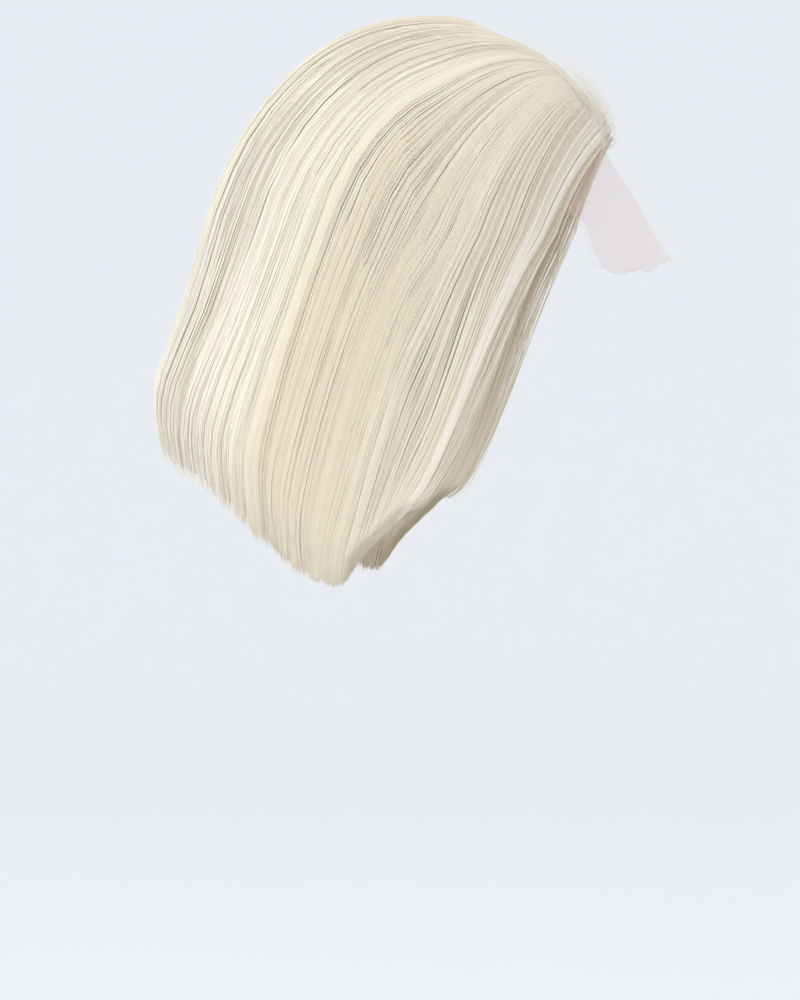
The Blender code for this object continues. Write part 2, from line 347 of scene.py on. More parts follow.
def strand_course(across, along, side):
    """Angle and level along strands, each of which bends once between its root and its tip."""
    def on_disk(angle_column, level_column):
        angle = np.radians(smooth_column(FLOW_TABLE, angle_column, across))
        level = smooth_column(FLOW_TABLE, level_column, across)
        return np.cos(angle) * level, np.sin(angle) * level * side

    bend = on_disk(2, 3)
    tip = on_disk(4, 5)
    disk_size = WIDEST_LEVEL / (CROWN_HEIGHT * math.pi / 2)
    beside_parting = side * (1 - np.clip(across, 0, 1)) * PARTING_WIDTH / 2
    root = (smooth_column(FLOW_TABLE, 1, across), (PARTING_OFFSET + beside_parting) * disk_size)
    past_front = np.minimum(across, 0.0)
    ahead, aside = (
        (1 - along) ** 2 * root[k] + 2 * along * (1 - along) * bend[k] + along ** 2 * tip[k]
        for k in (0, 1)
    )
    ahead = ahead - past_front * ramp(along, 0.0, 0.5)
    return np.degrees(np.arctan2(aside, ahead)), np.hypot(ahead, aside)


def hair_points(across, along, side, height):
    """Points in the hair, from its inner face at height 0 to its outer face at height 1."""
    across, along, side, height = np.broadcast_arrays(across, along, side, height)
    angle, level = strand_course(across, along, side)
    lift = full_lift(angle, level) - TIP_CURL * ramp(along, *CURL_SPAN)
    wall = TIP_WALL + (HAIR_WALL - TIP_WALL) * (1 - ramp(along, *THINNING_SPAN))
    before_side = 1 - ramp(across, FRONT_LOCK_ACROSS, OVER_LACE_ACROSS)
    over_lace = ramp(level, *LACE_LEVELS) * before_side
    at_cap = CAP_WALL + HAIR_CLEARANCE + over_lace * LACE_STAND_OFF
    hanging = ramp(level, *HANGING_LEVELS)
    under = np.maximum((1 - hanging) * at_cap + hanging * (lift - wall), at_cap)
    root = 1 - ramp(along, *ROOT_SPAN)
    outer = root * np.minimum(ROOT_LIFT, lift) + (1 - root) * lift
    outer = np.maximum(outer, under + TIP_WALL)
    return head_points(angle, level, under + height * (outer - under))


class SoftNoise:
    """Smooth seeded noise between -1 and 1 over a plane."""

    def __init__(self, seed, size=97):
        self.size = size
        self.values = np.random.default_rng(seed).uniform(-1, 1, (size, size))

    def __call__(self, x, y):
        x, y = np.broadcast_arrays(np.asarray(x, float), np.asarray(y, float))
        i, j = np.floor(x).astype(int), np.floor(y).astype(int)
        u, v = x - i, y - j
        u, v = u * u * (3 - 2 * u), v * v * (3 - 2 * v)
        i, j, k, m = i % self.size, j % self.size, (i + 1) % self.size, (j + 1) % self.size
        low = self.values[i, j] * (1 - u) + self.values[k, j] * u
        high = self.values[i, m] * (1 - u) + self.values[k, m] * u
        return low * (1 - v) + high * v


BROAD = SoftNoise(11)
MIDDLE = SoftNoise(12)
FINE = SoftNoise(13)


def relief(across, along, side):
    """How far locks of three sizes stand out of the hair, from about -1 to 1."""
    shift = np.where(np.asarray(side) > 0, 0.0, LEFT_SHIFT)
    broad = BROAD(across * 17 + shift, along * 1.1 + shift)
    middle = MIDDLE(across * 52 + shift, along * 1.8)
    fine = FINE(across * 150 + shift, along * 3.0)
    return 0.5 * broad + 0.32 * middle + 0.18 * fine


def new_mesh_object(name, points, loops, sizes, uvs, material):
    """Make a smooth mesh object from points, corner lists and a map named strand."""
    mesh = bpy.data.meshes.new(name)
    mesh.vertices.add(len(points))
    mesh.vertices.foreach_set("co", np.asarray(points, dtype=np.float32).ravel())
    mesh.loops.add(len(loops))
    mesh.loops.foreach_set("vertex_index", np.asarray(loops, dtype=np.int32))
    mesh.polygons.add(len(sizes))
    starts = np.concatenate(([0], np.cumsum(sizes)[:-1])).astype(np.int32)
    mesh.polygons.foreach_set("loop_start", starts)
    mesh.polygons.foreach_set("use_smooth", np.ones(len(sizes), dtype=bool))
    for layer_name in ("strand", "OFBake"):
        layer = mesh.uv_layers.new(name=layer_name)
        layer.uv.foreach_set("vector", np.asarray(uvs, dtype=np.float32).ravel())
    mesh.update(calc_edges=True)
    mesh.validate()
    mesh.materials.append(material)
    thing = bpy.data.objects.new(name, mesh)
    bpy.context.scene.collection.objects.link(thing)
    return thing


def strand_mesh(name, course, outward, widths, tones, alongs, material):
    """Join strands into one mesh of flat three-sided tubes that close to a point at both ends.

    Their outer faces take nearly the same normals, so that strands side by side shade as one lock.
    """
    count, rings = course.shape[:2]
    run = np.gradient(course, axis=1)
    run /= np.linalg.norm(run, axis=2, keepdims=True) + 1e-12
    aside = np.cross(run, outward)
    aside /= np.linalg.norm(aside, axis=2, keepdims=True) + 1e-12
    up = np.cross(aside, run)
    base_height = -0.5 * STRAND_FLATNESS
    section = np.array(((0.0, STRAND_FLATNESS), (-1.0, base_height), (1.0, base_height)))
    spokes = section[:, :1] * aside[:, :, None] + section[:, 1:] * up[:, :, None]
    body = course[:, 1:-1, None] + spokes[:, 1:-1] * (widths[:, 1:-1, None, None] / 2)
    points = np.concatenate((course[:, :1], body.reshape(count, -1, 3), course[:, -1:]), axis=1)
    per_strand = points.shape[1]
    last = per_strand - 1
    outer, under = [], []
    for k in range(3):
        n = (k + 1) % 3
        faces = under if k == 1 else outer
        faces.append((0, 1 + k, 1 + n))
        faces.append((last, last - 3 + n, last - 3 + k))
        for i in range(rings - 3):
            a = 1 + 3 * i
            faces.append((a + k, a + 3 + k, a + 3 + n, a + n))
    faces = outer + under
    is_under = np.concatenate([np.full(len(f), f in under) for f in faces])
    corner = np.concatenate([np.array(f) for f in faces])
    ring_of = np.concatenate(([0], np.repeat(np.arange(1, rings - 1), 3), [rings - 1]))
    place_of = np.concatenate(([0], np.tile((0, -1, 1), rings - 2), [0]))
    base = np.arange(count)[:, None] * per_strand
    loops = (base + corner[None]).ravel()
    sizes = np.tile([len(f) for f in faces], count)
    tones = np.broadcast_to(tones, (count, rings))[:, ring_of[corner]]
    tone_map = tones * (1 - 2 * TONE_MARGIN) + TONE_MARGIN
    across_map = np.clip(tone_map + 0.004 * place_of[corner][None], 0.001, 0.999)
    along_map = alongs[:, ring_of[corner]] * (1 - 2 * MAP_MARGIN) + MAP_MARGIN
    uvs = np.stack((across_map, along_map), axis=-1).reshape(-1, 2)
    lean = STRAND_LEAN * place_of[corner][None, :, None] * aside[:, ring_of[corner]]
    normals = up[:, ring_of[corner]] + lean
    normals = np.where(is_under[None, :, None], -up[:, ring_of[corner]], normals)
    normals /= np.linalg.norm(normals, axis=-1, keepdims=True)
    flat_points = points.reshape(-1, 3)
    piece = new_mesh_object(name, flat_points, loops, sizes, uvs, material)
    piece.data.normals_split_custom_set(normals.reshape(-1, 3))
    return piece


def grid_shell(name, outer, inner, material):
    """Close a wall between two grids of points, with the outer face in the map's lower half."""
    rows, columns = outer.shape[:2]
    points = np.concatenate((outer.reshape(-1, 3), inner.reshape(-1, 3)))
    index = np.arange(rows * columns).reshape(rows, columns)
    front = np.stack((index[:-1, :-1], index[1:, :-1], index[1:, 1:], index[:-1, 1:]), axis=-1)
    back = front[..., ::-1] + rows * columns
    rim = np.concatenate((index[0, :-1], index[:-1, -1], index[-1, :0:-1], index[:0:-1, 0]))
    after = np.roll(rim, -1)
    edge = np.stack((rim, after, after + rows * columns, rim + rows * columns), axis=-1)
    faces = np.concatenate((front.reshape(-1, 4), back.reshape(-1, 4), edge))
    volume = signed_volume(points, faces)
    if volume < 0:
        faces = faces[:, ::-1]
    v, u = np.meshgrid(np.linspace(0, 1, rows), np.linspace(0, 1, columns), indexing="ij")
    place = np.stack((u, v), axis=-1).reshape(-1, 2)
    half = place * (1 - 2 * MAP_MARGIN, 0.47)
    maps = np.concatenate((half + MAP_MARGIN, half + (MAP_MARGIN, 0.51)))
    uvs = maps[faces.ravel()]
    return new_mesh_object(name, points, faces.ravel(), np.full(len(faces), 4), uvs, material)


def signed_volume(points, faces):
    """Volume that four-cornered faces enclose, below zero when they point in."""
    a, b, c, d = (points[faces[:, k]] for k in range(4))
    return float((np.cross(b - a, c - a) * a).sum() + (np.cross(c - a, d - a) * a).sum())


def add_node(tree, kind, settings=(), links=()):
    """Add a shader node, set its properties and inputs, and link its inputs to other sockets."""
    node = tree.nodes.new(kind)
    for key, value in dict(settings).items():
        if isinstance(key, str) and hasattr(node, key):
            setattr(node, key, value)
        else:
            node.inputs[key].default_value = value
    for key, socket in dict(links).items():
        tree.links.new(socket, node.inputs[key])
    return node


def new_material(name):
    """Make a material with only a Principled shader and its output."""
    material = bpy.data.materials.new(name)
    material.use_nodes = True
    return material, material.node_tree, material.node_tree.nodes["Principled BSDF"]


def colour_ramp(tree, socket, stops):
    """Colours over a value from 0 to 1."""
    node = add_node(tree, "ShaderNodeValToRGB", {}, {0: socket})
    elements = node.color_ramp.elements
    while len(elements) < len(stops):
        elements.new(0.5)
    for element, (place, colour) in zip(elements, stops):
        element.position = place
        element.color = (*colour, 1.0)
    return node.outputs["Color"]


def strand_material(settings):
    """Bleached human hair. It is smooth and pale, so each strand has a soft narrow gleam."""
    material, tree, shader = new_material("bleached_hair_strands")
    place = add_node(tree, "ShaderNodeUVMap", {"uv_map": "strand"})
    axes = add_node(tree, "ShaderNodeSeparateXYZ", {}, {0: place.outputs["UV"]})
    tone = colour_ramp(
        tree,
        axes.outputs["X"],
        (
            (0.0, tuple(settings.shade)),
            (0.45, tuple(settings.middle)),
            (1.0, tuple(settings.light)),
        ),
    )
    tree.links.new(tone, shader.inputs["Base Color"])
    shader.inputs["Roughness"].default_value = 0.38
    shader.inputs["IOR"].default_value = 1.55
    shader.inputs["Specular IOR Level"].default_value = 0.45
    return material


def mass_material(settings, name, width):
    """The combed mass of bleached hair under the loose strands, as fine streaks along the combing.

    Hair is 0.07 mm thick, too fine to show, so the streaks are drawn ten times as coarse. Light
    passes through a mass of such pale hair, which softens its shadows.
    """
    material, tree, shader = new_material(name)
    place = add_node(tree, "ShaderNodeUVMap", {"uv_map": "strand"})
    stretch = add_node(
        tree,
        "ShaderNodeMapping",
        {"Scale": (width / STREAK_PITCH, 5.0, 1.0)},
        {"Vector": place.outputs["UV"]},
    )
    fine = add_node(
        tree,
        "ShaderNodeTexNoise",
        {"Scale": 1.0, "Detail": 3.0, "Roughness": 0.6},
        {"Vector": stretch.outputs["Vector"]},
    )
    tone = colour_ramp(
        tree,
        fine.outputs["Fac"],
        (
            (0.28, tuple(settings.shade)),
            (0.52, tuple(settings.middle)),
            (0.75, tuple(settings.light)),
        ),
    )
    bump = add_node(
        tree,
        "ShaderNodeBump",
        {"Strength": 0.5, "Distance": 0.0005},
        {"Height": fine.outputs["Fac"]},
    )
    tree.links.new(tone, shader.inputs["Base Color"])
    tree.links.new(bump.outputs["Normal"], shader.inputs["Normal"])
    shader.inputs["Roughness"].default_value = 0.45
    shader.inputs["IOR"].default_value = 1.55
    shader.inputs["Subsurface Weight"].default_value = 0.6
    shader.inputs["Subsurface Radius"].default_value = (1.0, 0.85, 0.6)
    shader.inputs["Subsurface Scale"].default_value = 0.003
    return material


def dress(piece, nodes):
    """Let a piece ride on the wig and stand for its solids, which it hides."""
    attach(piece, "root")
    if nodes:
        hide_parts(*nodes)
    return piece


def outward_at(across, along, side, height):
    """Courses through the hair and the ways out of it along them."""
    course = hair_points(across, along, side, height)
    above = hair_points(across, along, side, height + 0.2)
    outward = above - course
    outward /= np.linalg.norm(outward, axis=-1, keepdims=True) + 1e-12
    return course, outward


def wander(across, along, side):
    """How far locks drift sideways from the straight combing, as a place across."""
    shift = 0.0 if side > 0 else LEFT_SHIFT
    broad = 0.013 * BROAD(across * 9 + shift, along * 1.6 + 7.1)
    narrow = 0.005 * MIDDLE(across * 34 + shift, along * 2.6 + 3.3)
    return (broad + narrow) * ramp(along, 0.02, 0.5)


def lock_tones_and_painted_shading(across, along, side):
    """Soft bands of lighter and darker hair that run with the strands, from about -1 to 1: partly
    the hair's own uneven tone, partly painted light and shade of the locks.
    """
    shift = TONE_SHIFTS["right" if side > 0 else "left"]
    wide = MIDDLE(across * 22 + shift, along * 1.3 + 1.7)
    thin = FINE(across * 75 + shift, along * 1.9 + 4.1)
    patches = BROAD(across * 7 + shift, along * 3.1 + 9.7)
    return 0.28 * wide + 0.42 * thin + 0.30 * patches


def painted_light_and_shade_tones(across, along):
    """Slow change of tone over the hair: painted light, paler over the back where light falls, and
    painted shade, deeper in the middle of the side.
    """
    painted_light_back = ramp(across, 0.60, 0.82) * ramp(along, 0.25, 0.45)
    painted_shade_side = ramp(across, 0.08, 0.28) * (1 - ramp(across, 0.50, 0.68)) * ramp(along, 0.18, 0.50)
    return 0.20 * painted_light_back - 0.32 * painted_shade_side


def gather(start, centres):
    """The nearest centre of each start."""
    return centres[np.abs(start[:, None] - centres[None]).argmin(axis=1)]


def lock_courses(rng, count, side, low, high, first, look):
    """Courses of strands between two places across the hair, gathered into locks.

    The strands root just above row first of STRAND_ROWS. All strands bend at the same rows, so
    that straight pieces of neighbouring strands don't dive through each other.
    """
    span = high - low
    place = np.arange(count) + rng.random(count)
    start = low - look.spill + (span + 2 * look.spill) * place / count
    edge_low, edge_high = low - look.spill, high + look.spill
    locks = np.sort(rng.uniform(edge_low, edge_high, max(3, int(span * LOCKS_ACROSS))))
    tufts = np.sort(rng.uniform(edge_low, edge_high, max(6, int(span * TUFTS_ACROSS))))
    lock, tuft = gather(start, locks), gather(start, tufts)
    rows = np.array(STRAND_ROWS)
    above = rows[first - 1] if first else 0.0
    root = rng.uniform(above, 0.2 * above + 0.8 * rows[first], count)
    end = STRAND_END + 0.005 * BROAD(tuft * 60, 3.0) + rng.normal(0, 0.005, count)
    end -= (rng.random(count) < SHORTER_SHARE) * rng.uniform(0.0, SHORTER_BY, count)
    end = np.minimum(end, 1.008)
    still_below = np.arange(len(rows) - first)[::-1]
    middle = np.minimum(rows[None, first:], end[:, None] - 0.020 - 0.006 * still_below[None])
    along = np.concatenate((root[:, None], middle, end[:, None] - 0.010, end[:, None]), axis=1)
    pull = look.pull * ramp(along, 0.10, 0.8)
    big_pull = 0.5 * look.pull * ramp(along, 0.3, 1.0)
    across = start[:, None] + (tuft - start)[:, None] * pull + (lock - start)[:, None] * big_pull
    across = across + wander(across, along, side)
    sway = rng.uniform(0, 2 * math.pi, count)[:, None]
    loose = rng.random(count) < look.loose_share
    stray = np.where(loose, 0.014, 0.0026)[:, None]
    turns = rng.uniform(1.5, 4.2, count)[:, None]
    across = across + stray * np.sin(along * turns + sway) * ramp(along, 0.05, 0.6)
    layer = look.top - look.depth * rng.random(count) ** 2.0
    lift = 0.045 * BROAD(across * 17 + 5.0 * side, along * 1.1)
    lift = lift + 0.02 * MIDDLE(tuft[:, None] * 60, along * 1.2)
    height = layer[:, None] + lift
    if first:
        under = min(0.30, look.top)
        height = under + (height - under) * ramp(along - root[:, None], 0.0, 0.12)
    else:
        height = height * (0.15 + 0.85 * ramp(along, 0.0, 0.06))
    tone = 0.40 + look.tone + rng.normal(0, 0.15, count)[:, None]
    # Strands deeper in the hair are darker: painted shade of the strands over them.
    tone = tone + 0.18 * (layer[:, None] - look.top + 0.2)
    # Painted light over the back and painted shade in the middle of the side.
    tone = tone + painted_light_and_shade_tones(across, along)
    # Bands that are partly the hair's own tone and partly painted light and shade of the locks.
    tone = np.clip(tone + 0.24 * lock_tones_and_painted_shading(across, along, side), 0, 1)
    return across, along, height, tone, root


class Look:
    """How a group of strands lies: its height in the hair, depth, tone, spread and looseness."""

    def __init__(
        self, top=1.00, depth=0.24, tone=0.0, spill=0.020, pull=0.14, loose_share=0.06,
        roots=((0, 0.50), (4, 0.14), (8, 0.18), (12, 0.18)),
    ):
        self.top = top
        self.depth = depth
        self.tone = tone
        self.spill = spill
        self.pull = pull
        self.loose_share = loose_share
        self.roots = roots


def add_strands(name, rng, count, side, low, high, material, nodes, width, look):
    """Add the strands of one place on one side, a piece for each row that they root under."""
    for first, share in look.roots:
        amount = int(count * share)
        across, along, height, tone, root = lock_courses(rng, amount, side, low, high, first, look)
        course, outward = outward_at(across, along, float(side), height)
        taper = ramp(along - root[:, None], -0.02, 0.03) * (1 - 0.55 * ramp(along, 0.84, 1.01))
        widths = width * rng.uniform(0.7, 1.25, amount)[:, None] * taper
        piece = strand_mesh(
            f"{name}_{first}", course, outward, widths, tone, np.clip(along, 0, 1), material,
        )
        dress(piece, nodes)


def add_mass(name, sides, low, high, columns, rows, material, nodes):
    """Add the combed mass under the strands, as a closed wall that thins to its edges."""
    if len(sides) == 1:
        across = np.linspace(low, high, columns)
        side = np.full(columns, float(sides[0]))
    else:
        turn = np.linspace(1, -1, columns)
        across = 1 - (1 - low) * np.abs(turn)
        side = np.where(turn >= 0, 1.0, -1.0)
    ragged = MASS_END + 0.004 * FINE(across * 60, side * 5)
    along = np.linspace(0.0, 1.0, rows)[:, None] * ragged[None]
    across, side = np.broadcast_arrays(across[None], side[None])
    edge = ramp(across, -0.004, 0.022)
    hem = 1 - ramp(along, 0.88, 0.98)
    room = edge * hem
    shape = relief(across, along, side)
    sunk = 0.15 + 0.85 * ramp(along, 0.0, 0.06)
    rim, gain, share = MASS_OUTER
    outer = hair_points(across, along, side, sunk * (rim + room * (gain + share * shape)))
    rim, gain, share = MASS_INNER
    inner = hair_points(across, along, side, sunk * (rim - room * (gain - share * shape)))
    return dress(grid_shell(name, outer, inner, material), nodes)


class WIG_OT_hair_masses(bpy.types.Operator):
    """Build the combed masses of hair that carry the form under the loose strands"""

    bl_idname = "wig.hair_masses"
    bl_label = "Hair masses"

    def execute(self, context):
        settings = context.scene.wig_hair
        side_finish = mass_material(settings, "bleached_hair_side_mass", 0.127)
        lock_finish = mass_material(settings, "bleached_hair_lock_mass", 0.026)
        back_finish = mass_material(settings, "bleached_hair_back_mass", 0.240)
        for side, name in ((1, "right"), (-1, "left")):
            add_mass(
                name + "_hair_mass", (side,), FRONT_LOCK_ACROSS, SIDE_ACROSS, 180, 30,
                side_finish, ["hair_" + name],
            )
            add_mass(
                name + "_front_lock_mass", (side,), 0.0, FRONT_LOCK_ACROSS + 0.01, 40, 30,
                lock_finish, ["front_lock_" + name],
            )
        add_mass(
            "back_hair_mass", (1, -1), SIDE_ACROSS, 1.0, 300, 30,
            back_finish, ["hair_back"],
        )
        return {"FINISHED"}


class WIG_OT_side_strands(bpy.types.Operator):
    """Build the loose strands on both sides, swept back from the parting"""

    bl_idname = "wig.side_strands"
    bl_label = "Side strands"

    def execute(self, context):
        settings = context.scene.wig_hair
        rng = np.random.default_rng(21)
        material = strand_material(settings)
        middle = (FRONT_LOCK_ACROSS + SIDE_ACROSS) / 2
        for side, name, share in ((1, "right", 1.0), (-1, "left", 0.52)):
            count = int(settings.side_strands * share / 2)
            width = settings.strand_width * (1.0 if side > 0 else 1.35)
            halves = (("front", FRONT_LOCK_ACROSS, middle), ("rear", middle, SIDE_ACROSS))
            for half, low, high in halves:
                add_strands(
                    f"{name}_{half}_strands", rng, count, side, low, high, material,
                    ["hair_" + name], width, Look(),
                )
            add_strands(
                name + "_inner_strands", rng, settings.inner_strands, side, FRONT_LOCK_ACROSS,
                SIDE_ACROSS, material, ["hair_" + name], width * 1.5,
                Look(top=0.06, depth=0.08, tone=-0.1, pull=0.2, roots=((5, 1.0),)),
            )
        return {"FINISHED"}


class WIG_OT_back_strands(bpy.types.Operator):
    """Build the loose strands combed straight back over the crown"""

    bl_idname = "wig.back_strands"
    bl_label = "Back strands"

    def execute(self, context):
        settings = context.scene.wig_hair
        rng = np.random.default_rng(22)
        material = bpy.data.materials["bleached_hair_strands"]
        for side, name, share in ((1, "right", 1.0), (-1, "left", 0.68)):
            add_strands(
                name + "_back_strands", rng, int(settings.back_strands * share), side,
                SIDE_ACROSS, 1.0, material, ["hair_back"], settings.strand_width,
                Look(),
            )
        return {"FINISHED"}


class WIG_OT_front_locks(bpy.types.Operator):
    """Build the bright locks that frame the face"""

    bl_idname = "wig.front_locks"
    bl_label = "Front locks"

    def execute(self, context):
        settings = context.scene.wig_hair
        rng = np.random.default_rng(23)
        material = bpy.data.materials["bleached_hair_strands"]
        for side, name in ((1, "right"), (-1, "left")):
            node = ["front_lock_" + name]
            add_strands(
                name + "_front_lock_strands", rng, settings.lock_strands, side, 0.022,
                FRONT_LOCK_ACROSS - 0.012, material, node,
                settings.strand_width,
                Look(top=1.12, depth=0.45, tone=0.18, spill=0.008, pull=0.42),
            )
            add_strands(
                name + "_front_wisps", rng, settings.lock_strands // 2, side, -0.030,
                FRONT_LOCK_ACROSS, material, node, settings.strand_width * 0.8,
                Look(top=1.05, depth=1.0, tone=0.12, spill=0.002, pull=0.50, loose_share=0.45),
            )
            add_strands(
                name + "_front_lock_inner_strands", rng, settings.lock_strands // 2, side, 0.0,
                FRONT_LOCK_ACROSS, material, node, settings.strand_width * 1.4,
                Look(top=0.10, depth=0.10, tone=-0.05, spill=0.0, pull=0.2, roots=((5, 1.0),)),
            )
        return {"FINISHED"}


def fine_hair_course(rng, count, rings):
    """Short soft hairs that rise from the hairline and fall back over the front of the hair."""
    near_middle = rng.random(count) < 0.6
    angle = np.where(near_middle, rng.normal(0, 17, count), rng.uniform(-44, 44, count))[:, None]
    share = np.linspace(0, 1, rings)[None]
    length = 0.02 + 0.13 * rng.random(count)[:, None] ** 1.5
    hairline = level_at_depth(smooth_column(RIM_TABLE, 1, np.abs(angle)) * CAP_DEPTH)
    level = hairline + rng.uniform(-0.050, 0.010, count)[:, None] - length * share
    sway = rng.normal(3, 16, count)[:, None]
    angle = angle + sway * share ** 1.5
    height = 0.003 + 0.0100 * rng.random(count)[:, None] ** 1.3
    lift = 0.0012 + height * np.sin(np.minimum(share * 2.4, 1.0) * math.pi / 2)
    course = head_points(angle, level, lift)
    outward = head_points(angle, level, lift + 0.001) - course
    outward /= np.linalg.norm(outward, axis=-1, keepdims=True)
    return course, outward, np.broadcast_to(share, course.shape[:2])


class WIG_OT_fine_hairs(bpy.types.Operator):
    """Build the short soft hairs at the hairline"""

    bl_idname = "wig.fine_hairs"
    bl_label = "Fine hairs"

    def execute(self, context):
        settings = context.scene.wig_hair
        rng = np.random.default_rng(24)
        material = bpy.data.materials["bleached_hair_strands"]
        count, rings = settings.hairline_hairs, 7
        course, outward, share = fine_hair_course(rng, count, rings)
        widths = settings.strand_width * 0.5 * (1 - 0.6 * share)
        # The hairline hairs are drawn near the palest tone: painted light that lifts the shade
        # they cast on each other.
        tone = np.clip(rng.normal(0.95, 0.10, (count, 1)), 0, 1)
        piece = strand_mesh("hairline_fine_hairs", course, outward, widths, tone, share, material)
        dress(piece, None)
        return {"FINISHED"}


def lace_points(angle, share, lift):
    """Points on the lace flap, from the hairline (0) to its free edge (1)."""
    turn = np.abs(angle)
    depth = smooth_column(RIM_TABLE, 1, turn) * CAP_DEPTH + LACE_GAP
    root = head_points(angle, level_at_depth(depth), np.zeros_like(depth))
    out = root * (1, 1, 0)
    out /= np.linalg.norm(out, axis=-1, keepdims=True)
    slope = np.radians(smooth_column(RIM_TABLE, 3, turn))[..., None]
    down = np.array((0.0, 0.0, -1.0))
    way = out * np.cos(slope) + down * np.sin(slope)
    face = out * np.sin(slope) - down * np.cos(slope)
    ragged = 1 + 0.010 * np.sin(angle * 0.35) + 0.004 * np.sin(angle * 1.3 + 1)
    length = smooth_column(RIM_TABLE, 2, turn) * LACE_LENGTH * ragged
    wave = 0.0016 * np.sin(np.radians(angle) * 10 + 0.6) + 0.0007 * np.sin(np.radians(angle) * 31)
    crease = 0.0012 * np.sin(share * 5.5 + np.radians(angle) * 4)
    pleats = 0.0010 * np.sin(np.radians(angle) * 55) * np.exp(-((angle / 11) ** 2))
    off = lift + (0.0012 + wave + crease + pleats) * share ** 1.3
    return root + way * (length * share)[..., None] + face * off[..., None]


def lace_material(settings):
    """Sheer undyed lace: fine knotted nylon net, seen mostly as a faint pink veil."""
    material, tree, shader = new_material("sheer_lace_net")
    place = add_node(tree, "ShaderNodeUVMap", {"uv_map": "strand"})
    pitch = settings.net_pitch
    spread = math.radians(2 * LACE_HALF_SPREAD) * HEAD_LENGTH / 2 * 0.85
    stretch = add_node(
        tree,
        "ShaderNodeMapping",
        {"Scale": (spread / pitch, 2 * LACE_LENGTH / pitch, 1.0)},
        {"Vector": place.outputs["UV"]},
    )
    net = add_node(
        tree,
        "ShaderNodeTexVoronoi",
        {"feature": "DISTANCE_TO_EDGE", "Scale": 1.0, "Randomness": 0.25},
        {"Vector": stretch.outputs["Vector"]},
    )
    cover = add_node(
        tree,
        "ShaderNodeMapRange",
        {"From Min": 0.05, "From Max": 0.22, "To Min": 0.15, "To Max": 0.07},
        {"Value": net.outputs["Distance"]},
    )
    tree.links.new(cover.outputs["Result"], shader.inputs["Alpha"])
    shader.inputs["Base Color"].default_value = (*settings.thread, 1.0)
    shader.inputs["Roughness"].default_value = 0.8
    shader.inputs["Subsurface Weight"].default_value = 0.5
    shader.inputs["Subsurface Scale"].default_value = 0.001
    return material


class WIG_OT_lace_front(bpy.types.Operator):
    """Build the sheer untrimmed lace that stands off the forehead"""

    bl_idname = "wig.lace_front"
    bl_label = "Lace front"

    def execute(self, context):
        material = lace_material(context.scene.wig_lace)
        rows, columns = 24, 200
        angle = np.linspace(-LACE_HALF_SPREAD, LACE_HALF_SPREAD, columns)[None]
        share = np.linspace(0, 1, rows)[:, None]
        angle, share = np.broadcast_arrays(angle, share)
        outer = lace_points(angle, share, np.full(angle.shape, LACE_GAP + LACE_THICKNESS))
        inner = lace_points(angle, share, np.full(angle.shape, LACE_GAP))
        piece = grid_shell("lace_front_net", outer, inner, material)
        dress(piece, ["lace_front"])
        return {"FINISHED"}


def cap_material(settings):
    """Stretch net of the cap: a matt knitted tulle with rows of sewn hair weft across it."""
    material, tree, shader = new_material("stretch_cap_net")
    place = add_node(tree, "ShaderNodeUVMap", {"uv_map": "strand"})
    stretch = add_node(
        tree,
        "ShaderNodeMapping",
        {"Scale": (220.0, 150.0, 1.0)},
        {"Vector": place.outputs["UV"]},
    )
    net = add_node(
        tree,
        "ShaderNodeTexVoronoi",
        {"feature": "DISTANCE_TO_EDGE", "Scale": 1.0, "Randomness": 0.3},
        {"Vector": stretch.outputs["Vector"]},
    )
    cell = add_node(
        tree,
        "ShaderNodeMapRange",
        {"From Min": 0.04, "From Max": 0.25},
        {"Value": net.outputs["Distance"]},
    )
    thread = tuple(settings.cap_colour)
    hole = tuple(0.72 * c for c in thread)
    colour = colour_ramp(tree, cell.outputs["Result"], ((0.0, thread), (1.0, hole)))
    bump = add_node(
        tree,
        "ShaderNodeBump",
        {"Strength": 0.4, "Distance": 0.0003, "invert": True},
        {"Height": cell.outputs["Result"]},
    )
    tree.links.new(colour, shader.inputs["Base Color"])
    tree.links.new(bump.outputs["Normal"], shader.inputs["Normal"])
    shader.inputs["Roughness"].default_value = 0.85
    return material


class WIG_OT_cap(bpy.types.Operator):
    """Build the thin stretch cap that the hair is tied to"""

    bl_idname = "wig.cap"
    bl_label = "Cap"

    def execute(self, context):
        material = cap_material(context.scene.wig_lace)
        rows, columns = 24, 97
        angle = np.linspace(-180, 180, columns)[None]
        share = np.linspace(CAP_FIRST_ROW, 1, rows)[:, None]
        depth = smooth_column(RIM_TABLE, 1, np.abs(angle)) * CAP_DEPTH
        level = share * level_at_depth(depth)
        angle, level = np.broadcast_arrays(angle, level)
        outer = head_points(angle, level, np.full(angle.shape, CAP_WALL))
        inner = head_points(angle, level, np.zeros(angle.shape))
        dress(grid_shell("cap_net", outer, inner, material), ["cap"])
        return {"FINISHED"}


def add_area_light(name, place, target, size, power, colour):
    """Add a square soft light that faces a point."""
    data = bpy.data.lights.new(name, "AREA")
    data.size = size
    data.energy = power
    data.color = colour
    lamp = bpy.data.objects.new(name, data)
    bpy.context.scene.collection.objects.link(lamp)
    lamp.location = place
    lamp.rotation_euler = (Vector(target) - Vector(place)).to_track_quat("-Z", "Y").to_euler()


